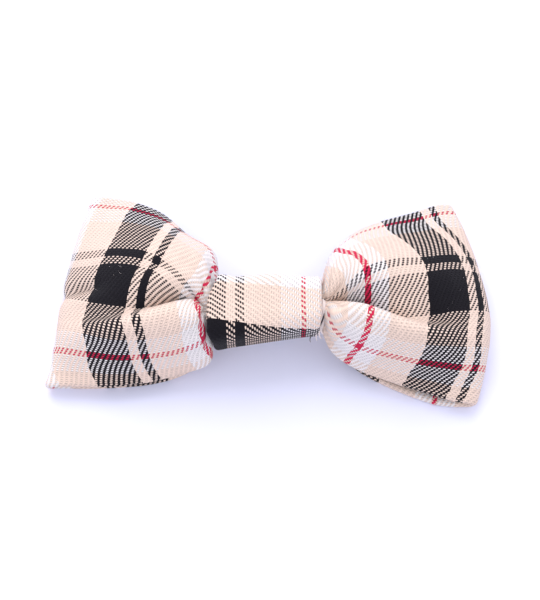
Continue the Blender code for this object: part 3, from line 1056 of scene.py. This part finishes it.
def ribbed_elastic(name):
    material, tree, shader = plain_finish(name, ELASTIC_ROUGHNESS, ELASTIC_SHEEN)
    parts = tree.nodes.new("ShaderNodeSeparateXYZ")
    tree.links.new(flat_position(tree), parts.inputs[0])
    rib_turn = maths(tree, "MULTIPLY", parts.outputs["Y"], 2 * math.pi / RIB_SPACING)
    pick_turn = maths(tree, "MULTIPLY", parts.outputs["X"], 2 * math.pi / PICK_SPACING)
    height = maths(tree, "MULTIPLY_ADD", maths(tree, "SINE", rib_turn), RIB_SHARE, 0.5)
    height = maths(tree, "MULTIPLY_ADD", maths(tree, "SINE", pick_turn), PICK_SHARE, height)
    # painted shade: the colour darkens towards the grooves between the ribs and beads, where the
    # height is low
    colour = mixed(tree, height, (*ELASTIC_PAINTED_GROOVE_SHADE, 1), (*ELASTIC_COLOUR, 1))
    wire(tree, shader.inputs["Base Color"], colour)
    raise_relief(tree, shader, height, RIB_RELIEF)
    return material


elastic_grid = elastic_middle()
elastic_u = walked(elastic_grid, 0)
elastic_v = elastic_grid[:, :, 0] - knot_x
elastic_width = elastic_high.x - elastic_low.x
print("the elastic is", round(elastic_u[-1].mean() / MM, 1), "mm round")
print("and", round(elastic_width / MM, 1), "mm wide")
elastic_finish = ribbed_elastic("ribbed elastic")
elastic = rolled_strip(
    "elastic", elastic_grid, elastic_u, elastic_v, ELASTIC_WALL, elastic_finish
)
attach(elastic, "root")
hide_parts("collar_loop")

# %% [markdown]
# ## Yarn
#
# Three more things are made of yarn: the frayed edge beside the band, the stitches that hold
# its lap, and the fuzz. Yarn is spun cotton, soft and matt, a little lighter and darker along
# its length. A strand is a path curve with a round bevel that gets thinner towards its end,
# turned into a mesh, with its doubles merged so that the caps are closed.

# %% Helpers for yarn
YARN_ROUGHNESS, YARN_SHEEN = 0.9, 0.2
TINT_SCALE = 5000.0
FIBRE_SCALE, FIBRE_RELIEF = 9000.0, 0.05 * MM
STRAND_MERGE = 0.0001 * MM
PALE_COTTON, PALE_SHADE = (0.90, 0.80, 0.77), (0.66, 0.57, 0.55)
DARK_COTTON, DARK_SHADE = (0.06, 0.05, 0.06), (0.02, 0.018, 0.022)


def yarn_finish(name, colour, shade):
    material, tree, shader = plain_finish(name, YARN_ROUGHNESS, YARN_SHEEN)
    where = tree.nodes.new("ShaderNodeTexCoord").outputs["Object"]
    tint = mixed(tree, cloud(tree, where, TINT_SCALE), (*shade, 1), (*colour, 1))
    wire(tree, shader.inputs["Base Color"], tint)
    raise_relief(tree, shader, cloud(tree, where, FIBRE_SCALE), FIBRE_RELIEF)
    return material


def strand(points, radii):
    """A round tube through some points, made from a path curve."""
    bpy.ops.object.select_all(action="DESELECT")
    bpy.ops.curve.primitive_nurbs_path_add()
    path = bpy.context.object.data
    path.splines.clear()
    line = path.splines.new("POLY")
    line.points.add(len(points) - 1)
    for knob, place, radius in zip(line.points, points, radii):
        knob.co = (*place, 1)
        knob.radius = radius
    path.bevel_depth = 1.0
    path.bevel_resolution = 1
    path.use_fill_caps = True
    bpy.ops.object.convert(target="MESH")
    close_mesh(merge_distance=STRAND_MERGE)
    return bpy.context.object


def joined(name, pieces, material):
    """Several strands as one piece that rides with the bow."""
    bpy.ops.object.select_all(action="DESELECT")
    for piece in pieces:
        piece.select_set(True)
    bpy.context.view_layer.objects.active = pieces[0]
    if len(pieces) > 1:
        bpy.ops.object.join()
    whole = bpy.context.view_layer.objects.active
    whole.name = whole.data.name = name
    whole.data.materials.append(material)
    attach(whole, "root")
    print(name, "has", len(whole.data.polygons), "faces")
    return whole


pale_yarn = yarn_finish("pale yarn", PALE_COTTON, PALE_SHADE)
dark_yarn = yarn_finish("dark yarn", DARK_COTTON, DARK_SHADE)
bpy.context.view_layer.update()

# %% [markdown]
# ## The frayed edge
#
# At the right the band's cut edge wasn't tucked in well. Its yarns have rolled up into a pale
# bundle that lies in the groove between the band and the wing, and at the lower corner they
# come apart. The bundle has a middle path, and each yarn winds round it, close at first and
# then further and further off. The path is given in millimetres from the middle of the knot.

# %% Lay the frayed edge
FRAY_PATH = [
    (12.5, 1.2, 17.4),
    (12.7, -0.6, 18.0),
    (12.7, -2.2, 17.6),
    (12.4, -3.7, 15.8),
    (12.0, -4.8, 13.9),
    (11.5, -5.6, 12.2),
    (11.1, -6.0, 10.8),
]
FRAY_POINTS = 34
FRAY_YARNS = 6
FRAY_RADIUS = 0.26 * MM
FRAY_SPREAD = 0.42 * MM
FRAY_OPEN = 0.62
FRAY_SPLAY = 1.5 * MM
FRAY_TURNS = 0.8
FRAY_FLATNESS = 0.5
FRAY_THINNING = 0.65
FRAY_PASSES = 8
REACHES = (0.4, 0.7, 1.0)
TIP_SHARE, TIP_GIRTH = 0.04, 0.3


def along_path(corners, count, passes):
    """A path's points, spaced evenly and rounded off."""
    corners = np.array(corners) * MM
    share = np.linspace(0, len(corners) - 1, count)
    axes = [np.interp(share, range(len(corners)), line) for line in corners.T]
    path = np.column_stack(axes)
    for _ in range(passes):
        path[1:-1] = (path[:-2] + 2 * path[1:-1] + path[2:]) / 4
    return path


fray_middle = along_path(FRAY_PATH, FRAY_POINTS, FRAY_PASSES)
fray_middle += np.array([knot_x, knot_y, 0])
fray_share = np.linspace(0, 1, FRAY_POINTS)
splay = eased_share(fray_share, FRAY_OPEN, 1.0)
fray_girth = 1 - FRAY_THINNING * splay
fray_girth *= np.clip(fray_share / TIP_SHARE + TIP_GIRTH, 0, 1)
fray_yarns = []
for index in range(FRAY_YARNS):
    turn = 2 * math.pi * (index / FRAY_YARNS + FRAY_TURNS * fray_share)
    reach = FRAY_SPREAD + splay * FRAY_SPLAY * REACHES[index % len(REACHES)]
    sideways, upwards = np.cos(turn) * reach, np.sin(turn) * reach
    offset = np.column_stack([sideways, FRAY_FLATNESS * upwards, upwards])
    fray_yarns.append(strand(fray_middle + offset, FRAY_RADIUS * fray_girth))
joined("frayed_edge", fray_yarns[:-1], pale_yarn)
joined("loose_yarn", fray_yarns[-1:], dark_yarn)

# %% [markdown]
# ## Stitches in the lap
#
# Behind the knot the band's lap is held by a few stitches by hand, on both sides of the
# elastic. Each one is a short strand that comes out of the cloth, crosses the lap's edge and
# goes in again. A ray from below finds the cloth that it lies on.

# %% Sew the lap
STITCH_COUNT = 4
STITCH_STEP = 1.5 * MM
STITCH_HALF = 0.9 * MM
STITCH_RADIUS = 0.14 * MM
STITCH_POINTS = 9
STITCH_OFFSET = 0.8
STITCH_SLANT = 0.25
STITCH_SINK, STITCH_PROUD = 2.2, 0.7

stitches = []
for side in (-1, 1):
    for index in range(STITCH_COUNT):
        x = knot_x + side * (elastic_width / 2 + (STITCH_OFFSET + index) * STITCH_STEP)
        points = []
        for share in np.linspace(-1, 1, STITCH_POINTS):
            along = share * STITCH_HALF
            below = Vector((x + STITCH_SLANT * along, knot_y + LAP_EDGE + along, 0.0))
            _, on_cloth, _, _ = band.ray_cast(below, Vector((0, 0, 1)))
            sink = STITCH_RADIUS * (STITCH_SINK * share**4 - STITCH_PROUD)
            points.append(on_cloth + Vector((0, 0, sink)))
        stitches.append(strand(points, [STITCH_RADIUS] * STITCH_POINTS))
joined("lap_stitches", stitches, pale_yarn)

# %% [markdown]
# ## Fuzz
#
# Brushed cotton is never quite clean at its edges: single fibres stand off it and catch the
# light. One fibre is a three-sided sphere pulled out into a spindle, so it has only a few
# faces and no open end. Its points are copied some hundreds of times, each time with its own
# root on the cloth, direction, length and bend. The draws come from a seeded generator and
# the sphere's faces, which Blender lists in a new order at times, are sorted, so the same
# mesh grows in each run.

# %% Grow the fuzz
FIBRE_COUNT = 520
FIBRE_RADIUS = 0.018 * MM
FIBRE_SHORT = 0.4 * MM
FIBRE_LONG = 1.2 * MM
FIBRE_SPREAD = 0.7
FIBRE_BEND = 0.5
ROOT_RISE = 0.4
ACROSS_FIBRE = (0.3, 0.5, 0.8)
EDGE_SHARE = 0.6
BARE_MARGIN = 2 * MM
LOWEST_FACING = -0.2
FIBRE_SEED = 7

draw = np.random.default_rng(FIBRE_SEED)
bpy.ops.object.select_all(action="DESELECT")
bpy.ops.mesh.primitive_uv_sphere_add(segments=3, ring_count=6, radius=1)
fibre = bpy.context.object
spindle = np.array([vertex.co for vertex in fibre.data.vertices])
spindle_faces = sorted(tuple(polygon.vertices) for polygon in fibre.data.polygons)
bpy.data.objects.remove(fibre)

surface_normals = normals_of(middle)
grown = np.abs(middle[:, :, 0] - knot_x) > BAND_EDGE + BARE_MARGIN
grown &= surface_normals[:, :, 2] > LOWEST_FACING
grown &= middle[:, :, 2] > BARE_MARGIN
inside = np.argwhere(grown)
at_edge = inside[(inside[:, 1] == 0) | (inside[:, 1] == COLUMNS - 1)]
edge_count = int(FIBRE_COUNT * EDGE_SHARE)
edge_roots = draw.choice(at_edge, edge_count)
other_roots = draw.choice(inside, FIBRE_COUNT - edge_count)

fuzz_points = []
for row, column in np.concatenate([edge_roots, other_roots]):
    normal = surface_normals[row, column]
    heading = normal + draw.normal(0, FIBRE_SPREAD, 3)
    heading /= np.linalg.norm(heading)
    side = np.cross(heading, ACROSS_FIBRE)
    side /= np.linalg.norm(side)
    length = draw.uniform(FIBRE_SHORT, FIBRE_LONG)
    root = middle[row, column] + normal * CLOTH_WALL * ROOT_RISE
    share = (spindle[:, 2:] + 1) / 2
    bend = side * share**2 * length * draw.uniform(-FIBRE_BEND, FIBRE_BEND)
    stem = root + heading * share * length + bend
    girth = side * spindle[:, :1] + np.cross(heading, side) * spindle[:, 1:2]
    fuzz_points.append(stem + girth * FIBRE_RADIUS)
fuzz_points = np.concatenate(fuzz_points)
fuzz_points[:, 2] = np.maximum(fuzz_points[:, 2], 0.0)
faces = [
    tuple(index * len(spindle) + corner for corner in face)
    for index in range(FIBRE_COUNT)
    for face in spindle_faces
]
fuzz_mesh = bpy.data.meshes.new("fuzz")
fuzz_mesh.from_pydata(fuzz_points.tolist(), [], faces)
fuzz = bpy.data.objects.new("fuzz", fuzz_mesh)
bpy.context.scene.collection.objects.link(fuzz)
joined("fuzz", [fuzz], pale_yarn)
